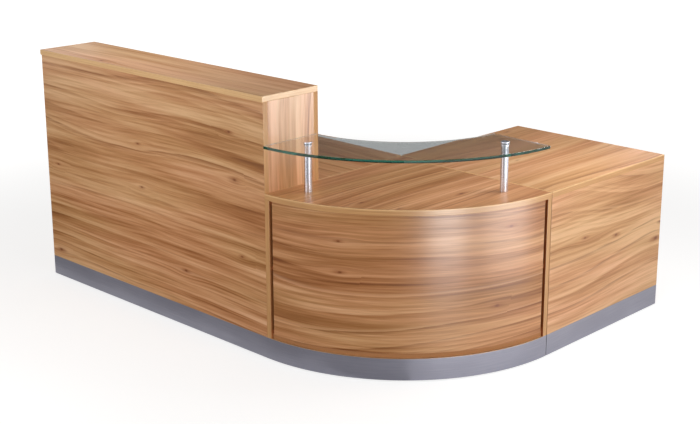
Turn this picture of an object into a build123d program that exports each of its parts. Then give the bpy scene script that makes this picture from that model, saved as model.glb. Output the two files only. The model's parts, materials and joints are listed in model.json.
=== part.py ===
from build123d import *
import os
from math import asin, cos, degrees, radians, sin, sqrt

# Reception desk in an L: a long unit with a raised counter, a quarter-round corner unit with a glass
# shelf on two posts, and a short unit. Three separate carcasses stand on levelling feet and are bolted
# together at their end panels. +Z is up, the long front faces -Y and the short front faces +X.

os.makedirs("parts", exist_ok=True)

# Main sizes in millimetres
worktop_height = 740.0
counter_height = 1155.0
unit_depth = 850.0
left_length = 1600.0
right_length = 880.0
counter_depth = 320.0
counter_overhang = 4.0
right_seam_gap = 3.5

# Boards
panel_thickness = 25.0
edge_band_thickness = 2.0
edge_radius = 1.0
inner_corner_cut = 23.0

# Plinth
plinth_height = 100.0
plinth_thickness = 18.0
plinth_floor_gap = 4.0

# Curved front of the corner unit
curved_panel_thickness = 8.0
curved_panel_recess = 3.0
curved_panel_side_gap = 15.0
curved_panel_bottom_gap = 22.0
former_thickness = 18.0
former_width = 90.0
corner_batten_width = 35.0

# Glass shelf and its posts
glass_thickness = 12.0
glass_clearance = 197.0
glass_width = 308.0
glass_overhang = 10.0
glass_left_gap = 5.0
glass_right_angle = 2.3
glass_corner_radius = 6.0
glass_edge_chamfer = 1.0
glass_hole_radius = 6.0
post_radius = 17.0
post_edge_distance = 100.0
post_end_chamfer = 0.8
cap_radius = 19.0
cap_thickness = 6.0
cap_edge_radius = 2.5
washer_radius = 16.0
washer_thickness = 1.5
stud_radius = 4.0
stud_depth = 22.0
stud_hole_clearance = 0.3
bolt_head_radius = 8.0
bolt_head_thickness = 5.0

# Levelling feet and the inserts they screw into
foot_pad_radius = 12.0
foot_pad_height = 8.0
foot_rim_height = 5.0
foot_neck_radius = 7.0
foot_stem_radius = 4.0
foot_stem_length = 34.0
foot_retract = 3.0
foot_stop_clearance = 0.5
foot_running_clearance = 0.05
foot_inset = 80.0
corner_foot_inset = 140.0
insert_radius = 6.0
insert_length = 22.0
stem_room_radius = 5.0

# Connectors between the units, and the blocks that hold the worktops
connector_radius = 4.0
connector_head_radius = 8.0
connector_head_thickness = 2.5
connector_insets = (180.0, 620.0)
connector_heights = (220.0, 600.0)
block_width = 20.0
block_length = 40.0
block_inset = 150.0
left_block_offsets = (-450.0, 0.0, 450.0)
right_block_offsets = (-200.0, 200.0)

# Levels
worktop_underside = worktop_height - panel_thickness
counter_underside = counter_height - panel_thickness
panel_floor_gap = foot_pad_height + foot_retract + foot_stop_clearance
insert_top = panel_floor_gap + insert_length
stem_top = foot_pad_height + foot_stem_length
stem_room_top = stem_top + foot_retract + foot_stop_clearance
curved_panel_bottom = plinth_height + curved_panel_bottom_gap
middle_former_bottom = (curved_panel_bottom + worktop_underside - former_thickness) / 2
glass_underside = worktop_height + glass_clearance
glass_top = glass_underside + glass_thickness
cap_bottom = glass_top + washer_thickness
post_top = glass_underside - washer_thickness

# Distances from the back line of a unit to its front pieces
straight_panel_front = unit_depth - panel_thickness
plinth_back = unit_depth - plinth_thickness
corner_panel_front = sqrt(unit_depth**2 - panel_thickness**2)
corner_plinth_back = sqrt(plinth_back**2 - panel_thickness**2)
curved_panel_radius = unit_depth - curved_panel_recess
former_radius = curved_panel_radius - curved_panel_thickness
curved_panel_seam_distance = panel_thickness + curved_panel_side_gap
glass_outer_radius = unit_depth + glass_overhang
glass_inner_radius = glass_outer_radius - glass_width
post_circle_radius = (glass_outer_radius + glass_inner_radius) / 2

# The desk's limits in plan, measured from the inner corner of the L, put the origin under its middle
plan_left = -(left_length + counter_overhang)
plan_right = max(unit_depth, glass_outer_radius * cos(radians(glass_right_angle)))
plan_front = -max(unit_depth + counter_overhang, sqrt(glass_outer_radius**2 - glass_left_gap**2))
plan_back = right_seam_gap + right_length
corner_x = -(plan_left + plan_right) / 2
corner_y = -(plan_front + plan_back) / 2
corner_plane = Plane(origin=(corner_x, corner_y, 0))

# Lines in plan
left_end_x = corner_x - left_length
left_front_y = corner_y - unit_depth
left_panel_y = left_front_y + panel_thickness
counter_back_y = left_front_y - counter_overhang + counter_depth
hutch_back_y = counter_back_y - panel_thickness
right_start_y = corner_y + right_seam_gap
right_end_y = right_start_y + right_length
right_front_x = corner_x + unit_depth
right_panel_x = right_front_x - panel_thickness

# Vertical planes of the end panels: x runs from the back of the unit to its front, y runs up
towards_left_front = {"x_dir": (0, -1, 0), "z_dir": (-1, 0, 0)}
towards_right_front = {"x_dir": (1, 0, 0), "z_dir": (0, -1, 0)}
left_outer_plane = Plane((left_end_x + panel_thickness, corner_y, 0), **towards_left_front)
left_inner_plane = Plane((corner_x, corner_y, 0), **towards_left_front)
corner_left_plane = Plane((corner_x + panel_thickness, corner_y, 0), **towards_left_front)
corner_right_plane = Plane((corner_x, corner_y, 0), **towards_right_front)
right_inner_plane = Plane((corner_x, right_start_y + panel_thickness, 0), **towards_right_front)
right_outer_plane = Plane((corner_x, right_end_y, 0), **towards_right_front)
connector_spots = [(inset, height) for inset in connector_insets for height in connector_heights]

# Post positions in plan, from the inner corner
left_post_x = glass_left_gap + post_edge_distance
left_post_spot = (left_post_x, -sqrt(post_circle_radius**2 - left_post_x**2))
right_post_angle = radians(glass_right_angle) + asin(post_edge_distance / post_circle_radius)
right_post_spot = (post_circle_radius * cos(right_post_angle), -post_circle_radius * sin(right_post_angle))
post_spots = [left_post_spot, right_post_spot]


def save(piece, name):
    """Labels a finished piece and writes its file."""
    piece.part.label = name
    export_step(piece.part, f"parts/{name}.step")


def rectangle(x_low, x_high, y_low, y_high):
    """Outline of a rectangle."""
    with BuildLine() as outline:
        Polyline((x_low, y_low), (x_high, y_low), (x_high, y_high), (x_low, y_high), close=True)
    return outline.edges()


def quarter_disc(radius, seam_distance, corner_cut):
    """Outline of a quarter disc that stays a distance off both seams, with its square corner cut off."""
    start = degrees(asin(seam_distance / radius))
    with BuildLine() as outline:
        rim = CenterArc((0, 0), radius, start - 90, 90 - 2 * start)
        if corner_cut > seam_distance:
            Polyline(rim @ 1, (corner_cut, -seam_distance), (seam_distance, -corner_cut), rim @ 0)
        else:
            Polyline(rim @ 1, (seam_distance, -seam_distance), rim @ 0)
    return outline.edges()


def board(name, x_low, x_high, y_low, y_high, z_low, z_high):
    """A rectangular board with eased edges."""
    with BuildPart() as piece:
        with BuildSketch(Plane.XY.offset(z_low)):
            make_face(rectangle(x_low, x_high, y_low, y_high))
        extrude(amount=z_high - z_low)
        fillet(piece.edges(), edge_radius)
    save(piece, name)


def banded_board(name, plane, outline, core_outline, bores=()):
    """A top board, and the eased band round its edges as a piece of its own."""
    with BuildPart() as core:
        with BuildSketch(plane):
            make_face(core_outline)
            for bore in bores:
                with Locations(bore):
                    Circle(stud_radius + stud_hole_clearance, mode=Mode.SUBTRACT)
        extrude(amount=panel_thickness)
    save(core, name)
    with BuildPart() as band:
        with BuildSketch(plane):
            make_face(outline)
        extrude(amount=panel_thickness)
        fillet(band.edges(), edge_radius)
        with BuildSketch(plane):
            make_face(core_outline)
        extrude(amount=panel_thickness, mode=Mode.SUBTRACT)
    save(band, f"{name}_edge_band")


def curved_board(name, outer_radius, inner_radius, seam_distance, z_low, z_high):
    """A board that follows the curve of the corner unit, with eased outer edges."""
    with BuildPart() as piece:
        with BuildSketch(corner_plane.offset(z_low)):
            make_face(quarter_disc(outer_radius, seam_distance, 0))
            make_face(quarter_disc(inner_radius, seam_distance, 0), mode=Mode.SUBTRACT)
        extrude(amount=z_high - z_low)
        rims = piece.edges().filter_by(GeomType.CIRCLE)
        fillet([rim for rim in rims if rim.radius > inner_radius], edge_radius)
    save(piece, name)


def end_panel(name, plane, back, front, plinth_line, inset, joined):
    """An end panel with bores for two feet, and holes for connectors where it is joined to a unit."""
    foot_distances = (inset, unit_depth - inset)
    spots = [plane.from_local_coords((distance, 0, panel_thickness / 2)) for distance in foot_distances]
    with BuildPart() as piece:
        with BuildSketch(plane):
            with BuildLine():
                Polyline(
                    (back, panel_floor_gap),
                    (plinth_line, panel_floor_gap),
                    (plinth_line, plinth_height),
                    (front, plinth_height),
                    (front, worktop_underside),
                    (back, worktop_underside),
                    close=True,
                )
            make_face()
            if joined:
                with Locations(*connector_spots):
                    Circle(connector_radius, mode=Mode.SUBTRACT)
        extrude(amount=panel_thickness)
        fillet(piece.edges().filter_by(Axis.Z), edge_radius)
        for bottom, top, radius in (
            (panel_floor_gap, insert_top, insert_radius),
            (insert_top, stem_room_top, stem_room_radius),
        ):
            with BuildSketch(Plane.XY.offset(bottom)):
                for spot in spots:
                    with Locations((spot.X, spot.Y)):
                        Circle(radius)
            extrude(amount=top - bottom, mode=Mode.SUBTRACT)
    save(piece, f"{name}_end_panel")
    return {f"{name}_back_foot": spots[0], f"{name}_front_foot": spots[1]}


# Long unit
board("left_front_panel", left_end_x, corner_x, left_front_y, left_panel_y, plinth_height, counter_underside)
board(
    "left_plinth",
    left_end_x,
    corner_x,
    left_front_y,
    left_front_y + plinth_thickness,
    plinth_floor_gap,
    plinth_height,
)
banded_board(
    "left_worktop",
    Plane.XY.offset(worktop_underside),
    rectangle(left_end_x, corner_x, left_panel_y, corner_y),
    rectangle(
        left_end_x + edge_band_thickness,
        corner_x - edge_band_thickness,
        left_panel_y,
        corner_y - edge_band_thickness,
    ),
)

# Raised counter on the long unit
for name, x_low in (
    ("hutch_left_end_panel", left_end_x),
    ("hutch_right_end_panel", corner_x - panel_thickness),
):
    board(name, x_low, x_low + panel_thickness, left_panel_y, hutch_back_y, worktop_height, counter_underside)
board(
    "hutch_back_panel",
    left_end_x,
    corner_x,
    hutch_back_y,
    counter_back_y,
    worktop_height,
    counter_underside,
)
banded_board(
    "counter_top",
    Plane.XY.offset(counter_underside),
    rectangle(left_end_x - counter_overhang, corner_x, left_front_y - counter_overhang, counter_back_y),
    rectangle(
        left_end_x - counter_overhang + edge_band_thickness,
        corner_x - edge_band_thickness,
        left_front_y - counter_overhang + edge_band_thickness,
        counter_back_y - edge_band_thickness,
    ),
)

# Corner unit
banded_board(
    "corner_worktop",
    corner_plane.offset(worktop_underside),
    quarter_disc(unit_depth, 0, inner_corner_cut),
    quarter_disc(
        unit_depth - edge_band_thickness,
        edge_band_thickness,
        inner_corner_cut + edge_band_thickness * (sqrt(2) - 1),
    ),
    bores=post_spots,
)
curved_board(
    "curved_front_panel",
    curved_panel_radius,
    former_radius,
    curved_panel_seam_distance,
    curved_panel_bottom,
    worktop_underside,
)
for name, bottom, top in (
    ("lower_former", plinth_height, curved_panel_bottom + former_thickness),
    ("middle_former", middle_former_bottom, middle_former_bottom + former_thickness),
    ("upper_former", worktop_underside - former_thickness, worktop_underside),
):
    curved_board(name, former_radius, former_radius - former_width, panel_thickness, bottom, top)
curved_board("corner_plinth", unit_depth, plinth_back, 0, plinth_floor_gap, plinth_height)

with BuildPart() as corner_base_board:
    with BuildSketch(corner_plane.offset(plinth_height - former_thickness)):
        make_face(quarter_disc(plinth_back, panel_thickness, 0))
    extrude(amount=former_thickness)
save(corner_base_board, "corner_base_board")

board(
    "corner_batten",
    corner_x + panel_thickness,
    corner_x + panel_thickness + corner_batten_width,
    corner_y - panel_thickness - corner_batten_width,
    corner_y - panel_thickness,
    plinth_height,
    worktop_underside,
)

# Short unit
board(
    "right_front_panel",
    right_panel_x,
    right_front_x,
    right_start_y,
    right_end_y,
    plinth_height,
    worktop_underside,
)
board(
    "right_plinth",
    right_front_x - plinth_thickness,
    right_front_x,
    right_start_y,
    right_end_y,
    plinth_floor_gap,
    plinth_height,
)
banded_board(
    "right_worktop",
    Plane.XY.offset(worktop_underside),
    rectangle(corner_x, right_front_x, right_start_y, right_end_y),
    rectangle(
        corner_x + edge_band_thickness,
        right_front_x - edge_band_thickness,
        right_start_y + edge_band_thickness,
        right_end_y - edge_band_thickness,
    ),
)

# End panels, which give the places of the feet
straight_limits = (0, straight_panel_front, plinth_back, foot_inset)
corner_limits = (panel_thickness, corner_panel_front, corner_plinth_back, corner_foot_inset)
foot_spots = {}
foot_spots |= end_panel("left_outer", left_outer_plane, *straight_limits, joined=False)
foot_spots |= end_panel("left_inner", left_inner_plane, *straight_limits, joined=True)
foot_spots |= end_panel("corner_left", corner_left_plane, *corner_limits, joined=True)
foot_spots |= end_panel("corner_right", corner_right_plane, *corner_limits, joined=True)
foot_spots |= end_panel("right_inner", right_inner_plane, *straight_limits, joined=True)
foot_spots |= end_panel("right_outer", right_outer_plane, *straight_limits, joined=False)

# Levelling feet
for name, spot in foot_spots.items():
    with BuildPart() as foot:
        with BuildSketch(Plane(origin=(spot.X, spot.Y, 0), x_dir=(1, 0, 0), z_dir=(0, -1, 0))):
            with BuildLine():
                Polyline(
                    (0, 0),
                    (foot_pad_radius - edge_radius, 0),
                    (foot_pad_radius, edge_radius),
                    (foot_pad_radius, foot_rim_height),
                    (foot_neck_radius, foot_pad_height),
                    (foot_stem_radius - foot_running_clearance, foot_pad_height),
                    (foot_stem_radius - foot_running_clearance, stem_top),
                    (0, stem_top),
                    close=True,
                )
            make_face()
        revolve(axis=Axis((spot.X, spot.Y, 0), (0, 0, 1)))
    save(foot, name)

with BuildPart() as foot_inserts:
    with BuildSketch(Plane.XY.offset(panel_floor_gap)):
        for spot in foot_spots.values():
            with Locations((spot.X, spot.Y)):
                Circle(insert_radius)
                Circle(foot_stem_radius, mode=Mode.SUBTRACT)
    extrude(amount=insert_length)
save(foot_inserts, "foot_inserts")

# Glass shelf
glass_left_outer = degrees(asin(glass_left_gap / glass_outer_radius))
glass_left_inner = degrees(asin(glass_left_gap / glass_inner_radius))
with BuildPart() as glass_shelf:
    with BuildSketch(corner_plane.offset(glass_underside)):
        with BuildLine():
            outer_rim = CenterArc(
                (0, 0), glass_outer_radius, glass_left_outer - 90, 90 - glass_left_outer - glass_right_angle
            )
            inner_rim = CenterArc(
                (0, 0), glass_inner_radius, glass_left_inner - 90, 90 - glass_left_inner - glass_right_angle
            )
            Line(outer_rim @ 0, inner_rim @ 0)
            Line(outer_rim @ 1, inner_rim @ 1)
        make_face()
        fillet(vertices(), glass_corner_radius)
        with Locations(*post_spots):
            Circle(glass_hole_radius, mode=Mode.SUBTRACT)
    extrude(amount=glass_thickness)
    flat_faces = glass_shelf.faces().filter_by(Axis.Z)
    chamfer([edge for face in flat_faces for edge in face.outer_wire().edges()], glass_edge_chamfer)
save(glass_shelf, "glass_shelf")

# Posts that carry the glass, and the caps whose studs hold it down
for side, spot in (("left", left_post_spot), ("right", right_post_spot)):
    with BuildPart() as post:
        with BuildSketch(corner_plane.offset(worktop_height)):
            with Locations(spot):
                Circle(post_radius)
        extrude(amount=post_top - worktop_height)
        chamfer(post.edges().filter_by(GeomType.CIRCLE), post_end_chamfer)
        for bore_bottom in (worktop_height, post_top - stud_depth):
            with BuildSketch(corner_plane.offset(bore_bottom)):
                with Locations(spot):
                    Circle(stud_radius)
            extrude(amount=stud_depth, mode=Mode.SUBTRACT)
    save(post, f"{side}_post")

    with BuildPart() as cap:
        with BuildSketch(corner_plane.offset(cap_bottom)):
            with Locations(spot):
                Circle(cap_radius)
        extrude(amount=cap_thickness)
        fillet(cap.edges().group_by(Axis.Z)[-1], cap_edge_radius)
        with BuildSketch(corner_plane.offset(post_top - stud_depth)):
            with Locations(spot):
                Circle(stud_radius)
        extrude(amount=cap_bottom - post_top + stud_depth)
    save(cap, f"{side}_post_cap")

with BuildPart() as glass_washers:
    for bottom in (post_top, glass_top):
        with BuildSketch(corner_plane.offset(bottom)):
            with Locations(*post_spots):
                Circle(washer_radius)
                Circle(stud_radius + stud_hole_clearance, mode=Mode.SUBTRACT)
        extrude(amount=washer_thickness)
save(glass_washers, "glass_washers")

with BuildPart() as post_bolts:
    for bottom, top, radius in (
        (worktop_underside - bolt_head_thickness, worktop_underside, bolt_head_radius),
        (worktop_underside, worktop_height + stud_depth, stud_radius),
    ):
        with BuildSketch(corner_plane.offset(bottom)):
            with Locations(*post_spots):
                Circle(radius)
        extrude(amount=top - bottom)
save(post_bolts, "post_bolts")

# Connectors through the paired end panels
with BuildPart() as unit_connectors:
    for plane, grip in (
        (corner_left_plane, 2 * panel_thickness),
        (right_inner_plane, 2 * panel_thickness + right_seam_gap),
    ):
        for start, length, radius in (
            (-connector_head_thickness, connector_head_thickness, connector_head_radius),
            (0, grip, connector_radius),
            (grip, connector_head_thickness, connector_head_radius),
        ):
            with BuildSketch(plane.offset(start)):
                with Locations(*connector_spots):
                    Circle(radius)
            extrude(amount=length)
save(unit_connectors, "unit_connectors")

# Blocks between the worktops and the panels that carry them
left_middle_x = (left_end_x + corner_x) / 2
right_middle_y = (right_start_y + right_end_y) / 2
panel_distances = (block_inset, straight_panel_front - block_inset)
blocks_along_y = [
    (x, corner_y - distance)
    for x in (
        left_end_x + panel_thickness + block_width / 2,
        corner_x - panel_thickness - block_width / 2,
    )
    for distance in panel_distances
]
right_block_x = right_panel_x - block_width / 2
blocks_along_y += [(right_block_x, right_middle_y + offset) for offset in right_block_offsets]
blocks_along_x = [
    (corner_x + distance, y)
    for y in (
        right_start_y + panel_thickness + block_width / 2,
        right_end_y - panel_thickness - block_width / 2,
    )
    for distance in panel_distances
]
left_block_y = left_panel_y + block_width / 2
blocks_along_x += [(left_middle_x + offset, left_block_y) for offset in left_block_offsets]
with BuildPart() as corner_blocks:
    with BuildSketch(Plane.XY.offset(worktop_underside - block_width)):
        with Locations(*blocks_along_y):
            Rectangle(block_width, block_length)
        with Locations(*blocks_along_x):
            Rectangle(block_length, block_width)
    extrude(amount=block_width)
save(corner_blocks, "corner_blocks")
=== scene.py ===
import json
import math
from functools import reduce

import bpy
from mathutils import Color, Matrix, Vector


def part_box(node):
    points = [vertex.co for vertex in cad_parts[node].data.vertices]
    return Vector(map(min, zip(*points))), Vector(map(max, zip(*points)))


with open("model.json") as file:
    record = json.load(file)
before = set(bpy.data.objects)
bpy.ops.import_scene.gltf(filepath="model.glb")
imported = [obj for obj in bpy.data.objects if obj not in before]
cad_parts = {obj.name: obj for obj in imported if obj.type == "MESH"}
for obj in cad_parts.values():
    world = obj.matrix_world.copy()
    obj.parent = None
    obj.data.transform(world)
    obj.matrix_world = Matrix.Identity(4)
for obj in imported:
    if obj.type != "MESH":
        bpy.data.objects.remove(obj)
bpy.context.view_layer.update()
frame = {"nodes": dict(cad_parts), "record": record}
nodes = frame["nodes"]
subparts = frame["record"]["subparts"]
scene = bpy.context.scene

# The inner corner of the L, about which the corner unit and the glass are round
corner_low, corner_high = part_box("corner_worktop_edge_band")
CORNER_X = corner_low.x
CORNER_Y = corner_high.y
CURVE_RADIUS = corner_high.x - CORNER_X

AXES = "XYZ"
WHITE = (1.0, 1.0, 1.0, 1.0)

# Noise and random numbers lie about their middle, and noise seldom leaves its range
MIDDLE = 0.5
NOISE_RANGE = (0.3, 0.7)
NOISE_CORE = (0.35, 0.65)

# The colour sockets of a mix node, by number because others have the same names
MIX_FIRST, MIX_SECOND, MIX_RESULT = 6, 7, 2


def colour(red, green, blue):
    """A screen colour from 0 to 255 as the linear colour that shaders take."""
    screen = Color((red / 255, green / 255, blue / 255))
    return (*screen.from_srgb_to_scene_linear(), 1.0)


def grey(level):
    """A linear grey from 0 to 1."""
    return (level, level, level, 1.0)


class Graph:
    """Shader nodes in one tree, made a call at a time."""

    def __init__(self, tree):
        self.tree = tree

    def add(self, kind, **settings):
        node = self.tree.nodes.new(kind)
        for key, value in settings.items():
            setattr(node, key, value)
        return node

    def feed(self, socket, value):
        """A socket gets a link from another socket, or a number or colour of its own."""
        if isinstance(value, bpy.types.NodeSocket):
            self.tree.links.new(value, socket)
        else:
            socket.default_value = value

    def fill(self, node, values):
        """Sockets of a node, by name or number, are fed."""
        for key, value in values.items():
            self.feed(node.inputs[key], value)

    def made(self, kind, *values, **settings):
        """The first output of a new node whose sockets are fed in their order."""
        node = self.add(kind, **settings)
        for socket, value in zip(node.inputs, values):
            self.feed(socket, value)
        return node.outputs[0]

    def math(self, operation, first, second=0.0):
        return self.made("ShaderNodeMath", first, second, operation=operation)

    def plus(self, first, second):
        return self.math("ADD", first, second)

    def minus(self, first, second):
        return self.math("SUBTRACT", first, second)

    def times(self, first, second):
        return self.math("MULTIPLY", first, second)

    def over(self, first, second):
        return self.math("DIVIDE", first, second)

    def weighted(self, *terms):
        """The sum of some values, each times its weight."""
        return reduce(self.plus, [self.times(value, weight) for value, weight in terms])

    def vector(self, x, y, z):
        return self.made("ShaderNodeCombineXYZ", x, y, z)

    def stretched(self, places, scales):
        """Coordinates, each times its scale, as one vector."""
        return self.vector(*map(self.times, places, scales))

    def axes(self, vector):
        """The three numbers in a vector."""
        node = self.add("ShaderNodeSeparateXYZ")
        self.feed(node.inputs[0], vector)
        return list(node.outputs)

    def noise(self, vector, detail=2.0, roughness=0.5):
        node = self.add("ShaderNodeTexNoise")
        self.fill(node, {"Vector": vector, "Scale": 1.0, "Detail": detail, "Roughness": roughness})
        return node.outputs["Fac"]

    def cells(self, vector, dimensions="3D"):
        """A pattern of cells, and the random numbers of each cell."""
        node = self.add("ShaderNodeTexVoronoi", voronoi_dimensions=dimensions, feature="F1")
        self.fill(node, {"Vector": vector, "Scale": 1.0})
        numbers = self.add("ShaderNodeSeparateColor")
        self.feed(numbers.inputs[0], node.outputs["Color"])
        return node.outputs, list(numbers.outputs)

    def remap(self, value, low, high, to_low=0.0, to_high=1.0, smooth=True):
        """A value's place between two limits, carried over to two other limits."""
        kind = "SMOOTHSTEP" if smooth else "LINEAR"
        return self.made("ShaderNodeMapRange", value, low, high, to_low, to_high, interpolation_type=kind)

    def mix(self, share, first, second, blend="MIX"):
        node = self.add("ShaderNodeMix", data_type="RGBA", blend_type=blend)
        self.fill(node, {"Factor": share, MIX_FIRST: first, MIX_SECOND: second})
        return node.outputs[MIX_RESULT]

    def between(self, noise, dark, light, span=NOISE_CORE):
        """A colour that goes from dark to light as noise goes through a span."""
        return self.mix(self.remap(noise, *span), dark, light)

    def ramp(self, value, stops):
        """A colour from a row of stops, each with its position and colour."""
        node = self.add("ShaderNodeValToRGB")
        elements = node.color_ramp.elements
        elements.remove(elements[1])
        elements[0].position, elements[0].color = stops[0]
        for position, stop_colour in stops[1:]:
            elements.new(position).color = stop_colour
        self.feed(node.inputs[0], value)
        return node.outputs[0]


# An edge band's fibres: waves per metre along, across and through the board
BAND_SCALES = (5.0, 5.0, 420.0)
BAND_DETAIL = 3.0


class Surface(Graph):
    """A material with its main shader and its output."""

    def __init__(self, name):
        self.material = bpy.data.materials.new(name)
        self.material.use_nodes = True
        super().__init__(self.material.node_tree)
        self.shader = self.tree.nodes["Principled BSDF"]
        self.output = self.tree.nodes["Material Output"]

    def place(self):
        """The object's own coordinates, which are the desk's frame in metres."""
        return self.axes(self.add("ShaderNodeTexCoord").outputs["Object"])

    def normal(self):
        """The way that the surface faces, before its bump."""
        return self.axes(self.add("ShaderNodeNewGeometry").outputs["True Normal"])

    def band(self, places, dark, light):
        """The fibres of an edge band, and its colour."""
        fibres = self.noise(self.stretched(places, BAND_SCALES), BAND_DETAIL)
        return fibres, self.between(fibres, dark, light)

    def roughness(self, noise, first, last, span=NOISE_RANGE):
        """The shader's roughness goes from first to last as noise goes through a span."""
        self.feed(self.shader.inputs["Roughness"], self.remap(noise, *span, first, last, smooth=False))

    def bump(self, height, strength, distance):
        node = self.add("ShaderNodeBump")
        self.fill(node, {"Strength": strength, "Distance": distance, "Height": height})
        self.feed(self.shader.inputs["Normal"], node.outputs[0])


# Wood colours, and the tints and shades that they are multiplied by
DEEP_GRAIN = colour(124, 70, 34)
DARK_GRAIN = colour(170, 113, 66)
MID_GRAIN = colour(203, 147, 100)
LIGHT_GRAIN = colour(234, 185, 141)
VEIN = colour(116, 60, 24)
KNOT_HEART = colour(108, 52, 20)
KNOT_EYE = colour(150, 84, 44)
PINK_TINT = (1.025, 0.985, 1.00, 1.0)
YELLOW_TINT = (0.98, 1.02, 0.96, 1.0)
FLECK_SHADES = (0.93, 1.06)
BAND_DARK = colour(198, 147, 96)
BAND_LIGHT = colour(214, 164, 110)
COUNTER_BAND_DARK = colour(224, 178, 124)
COUNTER_BAND_LIGHT = colour(240, 196, 140)
# Painted highlight along the upper arris of the worktop edge bands
ARRIS_HIGHLIGHT = colour(236, 196, 142)
# Painted shade inside the slots beside the curve, paler on the left where more light reaches
SLOT_PAINTED_SHADE = colour(150, 82, 40)
PALE_SLOT_PAINTED_SHADE = colour(196, 130, 80)

# Streaks in the grain: waves per metre along and across it, then the noise's detail and roughness
SWAY = (0.9, 1.7, 1.0, 0.5)
DRIFT = (0.45, 1.5, 1.0, 0.45)
PATCH = (1.3, 9.0, 1.0, 0.5)
BROAD = (0.7, 9.0, 3.0, 0.55)
LINES = (1.8, 70.0, 4.0, 0.62)
FIBRES = (14.0, 700.0, 2.0, 0.5)
BLUSH = (0.8, 6.0, 2.0, 0.5)
SWAY_DEPTH = 0.07
ACROSS_SHARE_OF_OFFSET = 0.37

# Growth rings: how many, how far they wander and fray, and where a ring's soft start and end leave off
RINGS_PER_METRE = 14.0
RING_DRIFT = 7.0
RING_FRAY = 0.14
FINE_PER_RING = 4.1
RING_START = 0.12
RING_END = 0.94

# Limits between which a mark sets in, on the place in a ring, on the ring's random number or on noise,
# and the share that veins and pale lines have at most
FINE_PICK = (0.2, 0.9)
PATCH_NOISE = (0.34, 0.66)
VEIN_PLACE = (0.74, 0.97)
VEIN_PICK = (0.45, 0.90)
VEIN_NOISE = (0.66, 0.40)
PALE_PLACE = (0.22, 0.02)
PALE_PICK = (0.70, 0.25)
VEIN_SHARE = 0.35
PALE_SHARE = 0.45

# Tone: the weight of each part of the figure, its mean and level, and where each colour is pure
BROAD_WEIGHT = 0.66
LINES_WEIGHT = 0.52
RING_WEIGHT = 0.18
PICK_WEIGHT = 0.08
FINE_WEIGHT = 0.10
MEAN_TONE = 0.59
TONE_LEVEL = 0.50
GRAIN_STOPS = ((0.22, DEEP_GRAIN), (0.37, DARK_GRAIN), (0.51, MID_GRAIN), (0.70, LIGHT_GRAIN))

# Knots, in cells of which some have one. A reach is a length along and across the grain, and a fade is
# two distances with the shares of a knot's colour there
CELLS_PER_METRE = (3.0, 5.2)
KNOT_CHANCE = (0.64, 0.68)
KNOT_SIZES = (0.55, 1.2)
BULGE_REACH = (0.10, 0.030)
BULGE_PUSH = 0.7
EYE_REACH = (0.036, 0.012)
HEART_REACH = (0.011, 0.0060)
KNOT_RAGGED = 2.6
EYE_FADE = (0.0, 1.6, 0.62, 0.0)
HEART_FADE = (0.1, 1.6, 0.7, 0.0)


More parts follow.
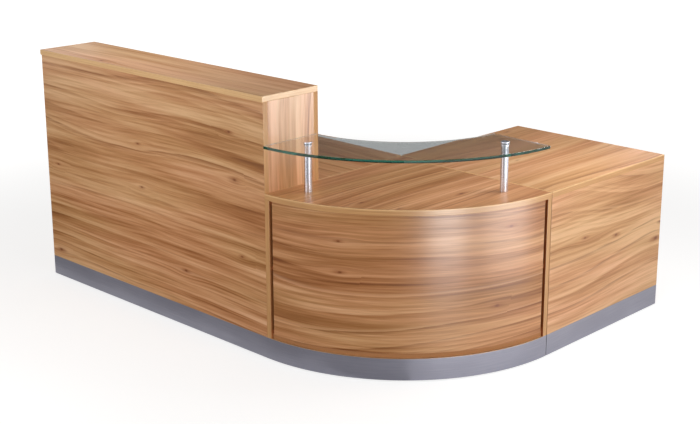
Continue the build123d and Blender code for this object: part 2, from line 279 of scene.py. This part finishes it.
class Grain(Surface):
    """The wood figure of a board, whose offset makes it unlike the others."""

    def __init__(self, name, along, across, offset, curved):
        super().__init__(name)
        self.offset = offset
        axes = self.round_axes() if curved else self.flat_axes(along, across)
        along_place, across_place, self.through, self.outward = axes
        self.along = self.plus(along_place, offset)
        self.across = self.plus(across_place, offset * ACROSS_SHARE_OF_OFFSET)
        self.scatter_knots()
        self.wavy = self.bent_across()
        self.drift = self.streaks(self.wavy, *DRIFT)
        self.lines = self.streaks(self.wavy, *LINES)
        self.fibres = self.streaks(self.wavy, *FIBRES)
        self.ring, self.ring_pick = self.growth(RINGS_PER_METRE, RING_DRIFT)
        self.vein = self.vein_lines()

    def flat_axes(self, along, across):
        """Places along, across and through a flat board, and how far its surface faces out."""
        thick = next(axis for axis in AXES if axis not in (along, across))
        place = self.place()
        places = [place[AXES.index(axis)] for axis in (along, across, thick)]
        return (*places, self.normal()[AXES.index(thick)])

    def round_axes(self):
        """The same for a board that is bent round the inner corner of the L."""
        x, y, z = self.place()
        from_x = self.minus(x, CORNER_X)
        from_y = self.minus(y, CORNER_Y)
        angle = self.math("ARCTAN2", from_y, from_x)
        radius = self.math("SQRT", self.weighted((from_x, from_x), (from_y, from_y)))
        normal = self.normal()
        outward = self.weighted(
            (normal[0], self.math("COSINE", angle)),
            (normal[1], self.math("SINE", angle)),
        )
        return self.times(angle, CURVE_RADIUS), z, radius, outward

    def scatter_knots(self):
        """One knot in some of the cells, with a size of its own."""
        cells_along, cells_across = CELLS_PER_METRE
        cells, numbers = self.cells(self.spread(self.across, cells_along, cells_across, 0.0), "2D")
        centre = self.axes(cells["Position"])
        self.knot_here = self.remap(numbers[0], *KNOT_CHANCE)
        self.knot_size = self.remap(numbers[1], 0.0, 1.0, *KNOT_SIZES, smooth=False)
        self.past_knot = self.minus(self.along, self.over(centre[0], cells_along))
        self.aside_knot = self.minus(self.across, self.over(centre[1], cells_across))

    def knot_distance(self, length, width):
        """The square of the distance from a knot, which is 1 at this length along or width across."""
        squares = []
        for away, reach in ((self.past_knot, length), (self.aside_knot, width)):
            squares.append(self.math("POWER", self.math("ABSOLUTE", self.over(away, reach)), 2.0))
        return self.plus(*squares)

    def bent_across(self):
        """Places across the grain, pushed aside by knots and swaying in long slow waves."""
        fall = self.math("EXPONENT", self.times(self.knot_distance(*BULGE_REACH), -1.0))
        push = self.times(self.times(fall, self.knot_here), BULGE_PUSH)
        bent = self.minus(self.across, self.times(push, self.aside_knot))
        sway = self.minus(self.streaks(self.across, *SWAY), MIDDLE)
        return self.plus(bent, self.times(sway, SWAY_DEPTH))

    def spread(self, across, along_scale, across_scale, layer):
        """Places on the board's face, stretched along and across the grain, in one layer of a pattern."""
        return self.vector(self.times(self.along, along_scale), self.times(across, across_scale), layer)

    def streaks(self, across, along_scale, across_scale, detail, roughness):
        return self.noise(self.spread(across, along_scale, across_scale, self.offset), detail, roughness)

    def growth(self, count, wander):
        """Place in a growth ring, from its pale start to its dark end, and a number for each ring."""
        turn = self.weighted((self.wavy, count), (self.drift, wander), (self.lines, RING_FRAY))
        pick = self.add("ShaderNodeTexWhiteNoise", noise_dimensions="1D")
        self.feed(pick.inputs["W"], self.plus(self.math("FLOOR", turn), self.offset))
        return self.math("FRACT", turn), pick.outputs["Value"]

    def vein_lines(self):
        """Thin broken lines at the dark ends of some rings."""
        ends = self.times(self.remap(self.ring, *VEIN_PLACE), self.remap(self.ring_pick, *VEIN_PICK))
        return self.times(ends, self.remap(self.lines, *VEIN_NOISE))

    def tone(self, paler, figure):
        """How light the grain is: broad streaks, thin lines and growth rings of two sizes."""
        broad = self.streaks(self.wavy, *BROAD)
        patch = self.streaks(self.wavy, *PATCH)
        soft_start = self.remap(self.ring, 0.0, RING_START)
        soft_end = self.remap(self.ring, 1.0, RING_END)
        saw = self.times(self.minus(MIDDLE, self.ring), self.times(soft_start, soft_end))
        fine, fine_pick = self.growth(RINGS_PER_METRE * FINE_PER_RING, RING_DRIFT * FINE_PER_RING)
        fine_saw = self.times(self.minus(MIDDLE, fine), self.remap(fine_pick, *FINE_PICK))
        tone = self.weighted(
            (broad, BROAD_WEIGHT),
            (self.lines, LINES_WEIGHT),
            (self.times(saw, self.remap(patch, *PATCH_NOISE)), RING_WEIGHT),
            (self.minus(self.ring_pick, MIDDLE), PICK_WEIGHT),
            (fine_saw, FINE_WEIGHT),
        )
        return self.plus(self.times(self.minus(tone, MEAN_TONE), figure), TONE_LEVEL + paler)

    def face(self, paler, figure):
        """The colour of the board's face."""
        face = self.ramp(self.tone(paler, figure), GRAIN_STOPS)
        face = self.mix(self.times(self.vein, VEIN_SHARE), face, VEIN)
        pale = self.times(self.remap(self.ring, *PALE_PLACE), self.remap(self.ring_pick, *PALE_PICK))
        face = self.mix(self.times(pale, PALE_SHARE), face, LIGHT_GRAIN)
        fleck = self.remap(self.fibres, *NOISE_RANGE, *FLECK_SHADES, smooth=False)
        face = self.mix(1.0, face, self.vector(fleck, fleck, fleck), blend="MULTIPLY")
        tint = self.between(self.streaks(self.wavy, *BLUSH), PINK_TINT, YELLOW_TINT)
        return self.with_knots(self.mix(1.0, face, tint, blend="MULTIPLY"))

    def with_knots(self, face):
        """The face with a soft brown eye round a dark heart in each knot."""
        ragged = self.times(self.minus(self.lines, MIDDLE), KNOT_RAGGED)
        for reach, fade, stain in ((EYE_REACH, EYE_FADE, KNOT_EYE), (HEART_REACH, HEART_FADE, KNOT_HEART)):
            away = self.over(self.math("SQRT", self.knot_distance(*reach)), self.knot_size)
            share = self.times(self.remap(self.plus(away, ragged), *fade), self.knot_here)
            face = self.mix(share, face, stain)
        return face


# A board's finish. The front strip of a face that stands in a slot, at the low or high end of the across
# axis, is painted with shade
WOOD_SPECULAR = 0.3
FACE_ROUGHNESS = (0.40, 0.31)
FACE_SPAN = (0.55, 0.85)
FIBRE_RELIEF = 0.5
VEIN_RELIEF = -0.5
WOOD_BUMP = (0.06, 0.0006)
LOW_END, HIGH_END = -1, 1
SLOT_SHADE_DEPTH = 0.035
SLOT_SHADE_FADE = 0.005


def wood(name, along, across, offset, paler=0.0, figure=1.0, curved=False, slot_shade_front=None):
    """Foil-covered board. The grain runs along one axis of its face, and its edges carry a paler band.

    The figure is how strongly light and dark grain differ. The front strip in a slot has its end and the
    colour of its painted shade.
    """
    g = Grain(name, along, across, offset, curved)
    face = g.face(paler, figure)
    # Painted shade on the front strip of the face that stands in a slot or seam
    if slot_shade_front:
        end, slot_shade = slot_shade_front
        axis = AXES.index(across)
        low, high = (corner[axis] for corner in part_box(name))
        front = high if end == HIGH_END else low
        depth = g.times(g.minus(front, g.place()[axis]), end)
        face = g.mix(g.remap(depth, SLOT_SHADE_DEPTH, SLOT_SHADE_DEPTH - SLOT_SHADE_FADE), face, slot_shade)
    band = g.band((g.along, g.across, g.through), BAND_DARK, BAND_LIGHT)[1]
    on_face = g.remap(g.math("ABSOLUTE", g.outward), *FACE_SPAN)
    g.fill(g.shader, {"Base Color": g.mix(on_face, band, face), "Specular IOR Level": WOOD_SPECULAR})
    g.roughness(g.lines, *FACE_ROUGHNESS)
    g.bump(g.weighted((g.fibres, FIBRE_RELIEF), (g.vein, VEIN_RELIEF)), *WOOD_BUMP)
    return g.material


# Edge bands, with a painted highlight along their upper arris
ARRIS_HIGHLIGHT_WIDTH = 0.007
BAND_ROUGHNESS = (0.40, 0.32)
BAND_BUMP = (0.05, 0.0005)


def edging(name, top, dark, light):
    """Edge band with faint fibres along the board, and a painted highlight along its arris at the top face.
    """
    g = Surface(name)
    place = g.place()
    fibres, band = g.band(place, dark, light)
    # The band is painted paler near the top face, as a highlight on its arris
    arris_highlight = g.remap(place[2], top - ARRIS_HIGHLIGHT_WIDTH, top)
    g.fill(g.shader, {"Base Color": g.mix(arris_highlight, band, ARRIS_HIGHLIGHT), "Specular IOR Level": WOOD_SPECULAR})
    g.roughness(fibres, *BAND_ROUGHNESS)
    g.bump(fibres, *BAND_BUMP)
    return g.material


# Chipboard, with painted shade in the slots at the curve's two ends, and stained up to just above its lower
# edge
CHIPS_PER_METRE = (170.0, 170.0, 320.0)
CHIP_DARK = colour(146, 104, 66)
CHIP_LIGHT = colour(172, 128, 86)
CHIP_ROUGHNESS = (0.75, 0.9)
CHIP_BUMP = (0.25, 0.0008)
GAP_STAIN = colour(182, 128, 82)
GAP_LIMITS = (0.002, 0.001)
SLOT_END = 0.042
SLOT_FADE = 0.005


def bare_board():
    """Raw chipboard: packed chips of several browns, with painted shade where it shows beside the curve and
    a stain below it.
    """
    g = Surface("bare_board")
    x, y, z = g.place()
    chips, numbers = g.cells(g.stretched((x, y, z), CHIPS_PER_METRE))
    board = g.mix(numbers[0], CHIP_DARK, CHIP_LIGHT)
    past_corner = [g.minus(x, CORNER_X), g.minus(CORNER_Y, y)]
    # Painted shade where the board shows in the slots beside the curve
    in_slot = g.math("MAXIMUM", *[g.remap(past, SLOT_END + SLOT_FADE, SLOT_END) for past in past_corner])
    curve_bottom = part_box("curved_front_panel")[0].z
    below = g.remap(z, *[curve_bottom + limit for limit in GAP_LIMITS])
    stained_and_shaded = g.mix(below, g.mix(in_slot, board, SLOT_PAINTED_SHADE), GAP_STAIN)
    g.feed(g.shader.inputs["Base Color"], stained_and_shaded)
    g.roughness(numbers[1], *CHIP_ROUGHNESS, span=(0.0, 1.0))
    g.bump(chips["Distance"], *CHIP_BUMP)
    return g.material


# Plinth foil. The right plinth's cut end, just past the corner unit, is painted dark as the shade in the
# seam
BRUSHED_SCALES = (5.0, 5.0, 900.0)
BRUSHED_NOISE = (3.0, 0.6)
CLOUD_SCALES = (4.0, 4.0, 9.0)
BRUSHED_WEIGHT, CLOUD_WEIGHT = 0.6, 0.4
FOIL_SPAN = (0.38, 0.62)
FOIL_DARK = colour(134, 134, 148)
FOIL_LIGHT = colour(146, 146, 160)
FOIL_METALLIC = 0.2
FOIL_ROUGHNESS = (0.42, 0.33)
FOIL_BUMP = (0.04, 0.0004)
RAW_EDGE_DARK = colour(176, 138, 98)
RAW_EDGE_LIGHT = colour(206, 170, 126)
SEAM_PAINTED_SHADE = colour(40, 34, 32)
SEAM_WIDTH = 0.002
UPWARD_SPAN = (0.30, 0.60)
CUT_END_SPAN = (-0.5, -0.9)


def plinth_foil():
    """Satin silver-grey foil with a faint brushed line along the plinth, a bare top edge, and painted shade
    on the cut end in the seam.
    """
    g = Surface("plinth_foil")
    place = g.place()
    normal = g.normal()
    brushed = g.noise(g.stretched(place, BRUSHED_SCALES), *BRUSHED_NOISE)
    cloud = g.noise(g.stretched(place, CLOUD_SCALES))
    tone = g.weighted((brushed, BRUSHED_WEIGHT), (cloud, CLOUD_WEIGHT))
    foil = g.between(tone, FOIL_DARK, FOIL_LIGHT, FOIL_SPAN)
    raw_edge = g.between(brushed, RAW_EDGE_DARK, RAW_EDGE_LIGHT)
    covered = g.mix(g.remap(normal[2], *UPWARD_SPAN), foil, raw_edge)
    # Painted shade on the right plinth's cut end, where it shows in the seam
    beyond_seam = g.remap(place[1], CORNER_Y, CORNER_Y + SEAM_WIDTH)
    shaded_cut_end = g.times(g.remap(normal[1], *CUT_END_SPAN), beyond_seam)
    g.fill(g.shader, {"Base Color": g.mix(shaded_cut_end, covered, SEAM_PAINTED_SHADE), "Metallic": FOIL_METALLIC})
    g.roughness(brushed, *FOIL_ROUGHNESS)
    g.bump(brushed, *FOIL_BUMP)
    return g.material


# Chrome
TURNED_SCALES = (60.0, 60.0, 2600.0)
CHROME_DARK = colour(210, 211, 222)
CHROME_LIGHT = colour(230, 231, 240)
CHROME_ROUGHNESS = (0.27, 0.22)
CHROME_BUMP = (0.02, 0.0002)
CHROME_STRETCH = 0.8
QUARTER_TURN = 0.25


def chrome():
    """Satin chrome with hairline turning marks, which draw reflections out along the post."""
    g = Surface("chrome")
    turned = g.noise(g.stretched(g.place(), TURNED_SCALES))
    round_post = g.add("ShaderNodeTangent", direction_type="RADIAL", axis="Z")
    settings = {
        "Base Color": g.between(turned, CHROME_DARK, CHROME_LIGHT),
        "Metallic": 1.0,
        "Anisotropic": CHROME_STRETCH,
        "Anisotropic Rotation": QUARTER_TURN,
        "Tangent": round_post.outputs[0],
    }
    g.fill(g.shader, settings)
    g.roughness(turned, *CHROME_ROUGHNESS)
    g.bump(turned, *CHROME_BUMP)
    return g.material


# Glass
SMEAR_SCALES = (7.0, 7.0, 7.0)
SMEAR_NOISE = (4.0, 0.6)
SMEAR_SPAN = (0.45, 0.8)
SMEAR_ROUGHNESS = (0.0, 0.012)
GLASS_DULL = colour(250, 251, 254)
GLASS_CLEAR = colour(253, 254, 255)
GLASS_EDGE = colour(120, 182, 166)
GLASS_FACE_SPAN = (0.4, 0.9)
GLASS_INDEX = 1.5
GLASS_GREEN = (0.05, 0.55, 0.45, 1.0)
GLASS_DENSITY = 4.5


def glass():
    """Clear float glass that goes green where it is seen through its edge."""
    g = Surface("glass")
    smear = g.noise(g.stretched(g.place(), SMEAR_SCALES), *SMEAR_NOISE)
    clear = g.between(smear, GLASS_DULL, GLASS_CLEAR, NOISE_RANGE)
    on_face = g.remap(g.math("ABSOLUTE", g.normal()[2]), *GLASS_FACE_SPAN)
    settings = {
        "Base Color": g.mix(on_face, GLASS_EDGE, clear),
        "IOR": GLASS_INDEX,
        "Transmission Weight": 1.0,
    }
    g.fill(g.shader, settings)
    g.roughness(smear, *SMEAR_ROUGHNESS, span=SMEAR_SPAN)
    absorb = g.add("ShaderNodeVolumeAbsorption")
    g.fill(absorb, {"Color": GLASS_GREEN, "Density": GLASS_DENSITY})
    g.feed(g.output.inputs["Volume"], absorb.outputs[0])
    return g.material


# Small hardware
SPECK_SCALES = (900.0, 900.0, 900.0)
SPECK_NOISE = (3.0, 0.6)
WEAR_SCALES = (120.0, 120.0, 120.0)
SPECK_WEIGHT, WEAR_WEIGHT = 0.5, 0.5
SPECK_SPAN = (0.36, 0.64)
SPECK_ROUGHENING = 0.12
SPECK_BUMP = (0.08, 0.0002)


def speckled(name, dark, light, roughness, metallic=0.0, transmission=0.0):
    """Small moulded or plated hardware with a fine mottled surface."""
    g = Surface(name)
    place = g.place()
    speck = g.noise(g.stretched(place, SPECK_SCALES), *SPECK_NOISE)
    wear = g.noise(g.stretched(place, WEAR_SCALES))
    tone = g.weighted((speck, SPECK_WEIGHT), (wear, WEAR_WEIGHT))
    settings = {
        "Base Color": g.between(tone, dark, light, SPECK_SPAN),
        "Metallic": metallic,
        "Transmission Weight": transmission,
    }
    g.fill(g.shader, settings)
    g.roughness(speck, roughness, roughness + SPECK_ROUGHENING)
    g.bump(speck, *SPECK_BUMP)
    return g.material


# The grain of each board, with how much paler it is and its figure where they aren't 0 and 1
boards = {
    "left_front_panel": dict(along="X", across="Z", offset=3.1, figure=1.1),
    "counter_top": dict(along="X", across="Y", offset=7.7, paler=0.11),
    "left_worktop": dict(along="X", across="Y", offset=12.4, figure=0.7),
    "hutch_back_panel": dict(along="X", across="Z", offset=17.9),
    "hutch_left_end_panel": dict(along="Z", across="Y", offset=21.3),
    "hutch_right_end_panel": dict(along="Z", across="Y", offset=24.3, paler=0.12),
    "left_outer_end_panel": dict(along="Z", across="Y", offset=31.6),
    "left_inner_end_panel": dict(along="Z", across="Y", offset=36.2),
    # Panels that face into a slot or seam get painted shade along their fronts
    "corner_left_end_panel": dict(along="Z", across="Y", offset=41.1, slot_shade_front=(LOW_END, PALE_SLOT_PAINTED_SHADE)),
    "corner_right_end_panel": dict(along="Z", across="X", offset=46.5, slot_shade_front=(HIGH_END, SLOT_PAINTED_SHADE)),
    "right_inner_end_panel": dict(along="Z", across="X", offset=51.7, slot_shade_front=(HIGH_END, SLOT_PAINTED_SHADE)),
    "right_outer_end_panel": dict(along="Z", across="X", offset=56.4),
    "right_front_panel": dict(along="Y", across="Z", offset=63.4, paler=0.08, figure=1.12),
    "corner_worktop": dict(along="Y", across="X", offset=66.9, paler=-0.03, figure=0.7),
    "right_worktop": dict(along="Y", across="X", offset=74.6, figure=0.6),
    "corner_base_board": dict(along="Y", across="X", offset=76.8),
    "curved_front_panel": dict(along="X", across="Z", offset=84.2, paler=-0.06, figure=1.05, curved=True),
}
for node, grain in boards.items():
    nodes[node].data.materials[0] = wood(node, **grain)

band_colours = {
    "left_worktop_edge_band": (BAND_DARK, BAND_LIGHT),
    "corner_worktop_edge_band": (BAND_DARK, BAND_LIGHT),
    "right_worktop_edge_band": (BAND_DARK, BAND_LIGHT),
    "counter_top_edge_band": (COUNTER_BAND_DARK, COUNTER_BAND_LIGHT),
}
for node, (dark, light) in band_colours.items():
    nodes[node].data.materials[0] = edging(node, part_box(node)[1].z, dark, light)

hardware = {
    "clear_plastic": dict(
        dark=colour(206, 212, 214), light=colour(226, 231, 233), roughness=0.12, transmission=0.8
    ),
    "steel": dict(dark=colour(150, 151, 155), light=colour(196, 197, 202), roughness=0.28, metallic=1.0),
    "block_plastic": dict(dark=colour(132, 100, 70), light=colour(156, 122, 88), roughness=0.45),
    "foot_plastic": dict(dark=colour(24, 24, 26), light=colour(38, 38, 41), roughness=0.45),
}
shared = {
    "bare_board": bare_board(),
    "plinth_foil": plinth_foil(),
    "chrome": chrome(),
    "glass": glass(),
}
for slot, finish in hardware.items():
    shared[slot] = speckled(slot, **finish)
for entry in subparts:
    if entry["material_slot"] in shared:
        nodes[entry["node"]].data.materials[0] = shared[entry["material_slot"]]

# Light through the shelf reaches the worktop
nodes["glass_shelf"].visible_shadow = False


def into_scene(name, data):
    """A new object in the scene."""
    thing = bpy.data.objects.new(name, data)
    scene.collection.objects.link(thing)
    return thing


def rectangle(name, width, height):
    """A flat mesh about its own middle."""
    x, y = width / 2, height / 2
    mesh = bpy.data.meshes.new(name)
    mesh.from_pydata([(-x, -y, 0), (x, -y, 0), (x, y, 0), (-x, y, 0)], [], [(0, 1, 2, 3)])
    return mesh


# How bright the white surroundings are through the glass
SEEN_THROUGH_GLASS = 0.45


def seen_directly(g):
    """1 for rays from the camera or from a reflection, less for those through glass, 0 for the rest."""
    path = g.add("ShaderNodeLightPath").outputs
    through = path["Is Transmission Ray"]
    seen = g.math("MAXIMUM", g.math("MAXIMUM", path["Is Camera Ray"], path["Is Glossy Ray"]), through)
    dimmed = g.plus(g.times(through, SEEN_THROUGH_GLASS - 1.0), 1.0)
    return g.times(seen, dimmed)


# Floor. Its glow grows between two distances from the desk's middle
FLOOR_SIZE = 60.0
FLOOR_DARK = grey(0.42)
FLOOR_LIGHT = grey(0.44)
FLOOR_BOUNCE = grey(0.7)
GLOW_DISTANCES = (2.0, 5.0)
GLOW_STRENGTHS = (0.70, 1.0)


def floor_finish():
    """Pale floor that glows where it is seen, and keeps the desk's shadow. To the desk it is plain grey."""
    g = Surface("floor")
    g.tree.nodes.remove(g.shader)
    place = g.add("ShaderNodeTexCoord").outputs["Object"]
    lit = g.made("ShaderNodeBsdfDiffuse", g.mix(g.noise(place), FLOOR_DARK, FLOOR_LIGHT))
    bounce = g.made("ShaderNodeBsdfDiffuse", FLOOR_BOUNCE)
    distance = g.add("ShaderNodeVectorMath", operation="LENGTH")
    g.feed(distance.inputs[0], place)
    strength = g.remap(distance.outputs["Value"], *GLOW_DISTANCES, *GLOW_STRENGTHS)
    glow = g.made("ShaderNodeEmission", WHITE, strength)
    both = g.made("ShaderNodeAddShader", lit, glow)
    g.feed(g.output.inputs["Surface"], g.made("ShaderNodeMixShader", seen_directly(g), bounce, both))
    return g.material


floor = into_scene("floor", rectangle("floor", FLOOR_SIZE, FLOOR_SIZE))
floor.data.materials.append(floor_finish())

# World: soft even light, seen as white and reflected as pale grey
SKY_COLOUR = (1.0, 0.97, 0.94, 1.0)
SKY_STRENGTH = 0.42
SKY_IN_REFLECTIONS = 0.8
world = bpy.data.worlds.new("studio")
scene.world = world
world.use_nodes = True
sky = Graph(world.node_tree)
sky.tree.nodes.clear()
even = sky.made("ShaderNodeBackground", SKY_COLOUR, SKY_STRENGTH)
from_camera = sky.add("ShaderNodeLightPath").outputs["Is Camera Ray"]
brightness = sky.plus(sky.times(from_camera, 1.0 - SKY_IN_REFLECTIONS), SKY_IN_REFLECTIONS)
white = sky.made("ShaderNodeBackground", WHITE, brightness)
sky_output = sky.add("ShaderNodeOutputWorld")
sky.feed(sky_output.inputs["Surface"], sky.made("ShaderNodeMixShader", seen_directly(sky), even, white))


def group(name, members):
    """A collection of the desk's nodes that a lamp can be kept to."""
    collection = bpy.data.collections.new(name)
    for member in members:
        collection.objects.link(nodes[member])
    return collection


BOARD_SLOTS = ("panel_wood", "top_wood", "edge_band", "plinth_foil")
board_names = [entry["node"] for entry in subparts if entry["material_slot"] in BOARD_SLOTS]
boards_only = group("boards", board_names)
hutch_only = group("hutch", ["hutch_right_end_panel", "counter_top_edge_band"])
counter_only = group("counter", ["counter_top"])


def face_point(thing, place, aim):
    """A lamp or card goes to its place and faces a point."""
    thing.location = place
    thing.rotation_euler = (Vector(aim) - Vector(place)).to_track_quat("-Z", "Y").to_euler()


def lamp(name, place, aim, size, power, receivers=None, only_gloss=False):
    """A soft rectangular lamp that faces a point. It can be kept to a group of nodes, or to reflections."""
    data = bpy.data.lights.new(name, "AREA")
    data.shape = "RECTANGLE"
    data.size, data.size_y = size
    data.energy = power
    light = into_scene(name, data)
    face_point(light, place, aim)
    light.visible_camera = False
    light.visible_diffuse = not only_gloss
    light.visible_transmission = False
    light.light_linking.receiver_collection = receivers


# Cards
CARD_COLOUR = grey(0.02)
CARD_ROUGHNESS = 0.9
CARD_GLOW = (0.85, 0.92, 1.0, 1.0)


def flag(name, place, aim, size, turn=0.0, glow=0.0, through_glass=False):
    """A dark or grey card that keeps reflections of the white surroundings off the desk."""
    g = Surface(name)
    settings = {
        "Base Color": CARD_COLOUR,
        "Roughness": CARD_ROUGHNESS,
        "Emission Color": CARD_GLOW,
        "Emission Strength": glow,
    }
    g.fill(g.shader, settings)
    card = into_scene(name, rectangle(name, *size))
    card.data.materials.append(g.material)
    face_point(card, place, aim)
    card.rotation_euler.rotate_axis("Z", math.radians(turn))
    for kind in ("camera", "diffuse", "volume_scatter", "shadow"):
        setattr(card, "visible_" + kind, False)
    card.visible_transmission = through_glass


# Lamps that light the desk
lamp("key", place=(1.5, 0.55, 1.75), aim=(1.15, 0.35, 0.74), size=(0.8, 0.8), power=13.5)
lamp("side", place=(4.1, -0.6, 1.05), aim=(1.0, -0.2, 0.55), size=(1.5, 1.5), power=33.0)
lamp(
    "counter_fill",
    place=(-0.75, -0.69, 1.9),
    aim=(-0.75, -0.69, 1.1),
    size=(1.2, 0.3),
    power=3.6,
    receivers=counter_only,
)
lamp("front_fill", place=(-0.35, -2.9, 1.2), aim=(-0.35, 0.0, 0.55), size=(1.6, 1.2), power=16.0)
lamp(
    "back_fill",
    place=(-1.2, 3.8, 0.7),
    aim=(-0.2, 0.0, 0.5),
    size=(2.2, 1.0),
    power=18.0,
    receivers=boards_only,
)

# Lamps that show only as sheen, two on the boards by the curve and one on the hutch end
lamp(
    "curve_gloss",
    place=(2.50, -1.04, 0.45),
    aim=(1.085, -0.474, 0.5),
    size=(0.7, 0.9),
    power=51.0,
    receivers=boards_only,
    only_gloss=True,
)
lamp(
    "curve_sheen",
    place=(2.65, 0.2, 0.45),
    aim=(1.18, -0.25, 0.45),
    size=(1.0, 0.9),
    power=46.0,
    receivers=boards_only,
    only_gloss=True,
)
lamp(
    "hutch_gloss",
    place=(4.2, 3.35, 0.3),
    aim=(0.372, -0.7, 1.0),
    size=(1.6, 0.6),
    power=160.0,
    receivers=hutch_only,
    only_gloss=True,
)

# Two cards stand behind the desk, and two lie on the floor in front of it
flag(
    "back_flag",
    place=(-1.49, 2.84, 1.9),
    aim=(1.23, 0.64, 0.75),
    size=(2.28, 2.6),
    glow=0.05,
    through_glass=True,
)
flag(
    "left_back_flag",
    place=(-2.67, 1.38, 1.9),
    aim=(0.05, -0.82, 0.75),
    size=(1.48, 2.6),
    glow=0.12,
    through_glass=True,
)
flag("floor_flag", place=(-1.9, -2.275, 0.001), aim=(-1.9, -2.275, -1.0), size=(5.8, 2.67))
flag("curve_flag", place=(1.16, -3.16, 0.002), aim=(1.16, -3.16, -1.0), size=(4.0, 3.2), turn=-47.0)

# Camera at the photograph's place, fitted to the desk's corners
CAMERA_PLACE = Vector((4.3625, -4.4661, 2.2874))
CAMERA_YAW = math.radians(133.756)
CAMERA_PITCH = math.radians(-15.704)
IMAGE_WIDTH, IMAGE_HEIGHT = 700, 424
FOCAL_PIXELS = 1340.1
PRINCIPAL_X, PRINCIPAL_Y = 358.0, 185.0
SENSOR_WIDTH = 36.0
level = math.cos(CAMERA_PITCH)
forward = Vector((math.cos(CAMERA_YAW) * level, math.sin(CAMERA_YAW) * level, math.sin(CAMERA_PITCH)))
right = Vector((math.sin(CAMERA_YAW), -math.cos(CAMERA_YAW), 0.0))
up = right.cross(forward)
camera_data = bpy.data.cameras.new("camera")
camera_data.sensor_width = SENSOR_WIDTH
camera_data.lens = FOCAL_PIXELS / IMAGE_WIDTH * SENSOR_WIDTH
camera_data.shift_x = (IMAGE_WIDTH / 2 - PRINCIPAL_X) / IMAGE_WIDTH
camera_data.shift_y = (PRINCIPAL_Y - IMAGE_HEIGHT / 2) / IMAGE_WIDTH
camera = into_scene("camera", camera_data)
camera.matrix_world = Matrix.Translation(CAMERA_PLACE) @ Matrix((right, up, -forward)).transposed().to_4x4()
scene.camera = camera
scene.view_settings.view_transform = "Standard"

# Enough bounces for light to find its way along the glass shelf
GLASS_BOUNCES = 24
GLOSSY_BOUNCES = 16
scene.cycles.max_bounces = GLASS_BOUNCES
scene.cycles.glossy_bounces = GLOSSY_BOUNCES
scene.cycles.transmission_bounces = GLASS_BOUNCES
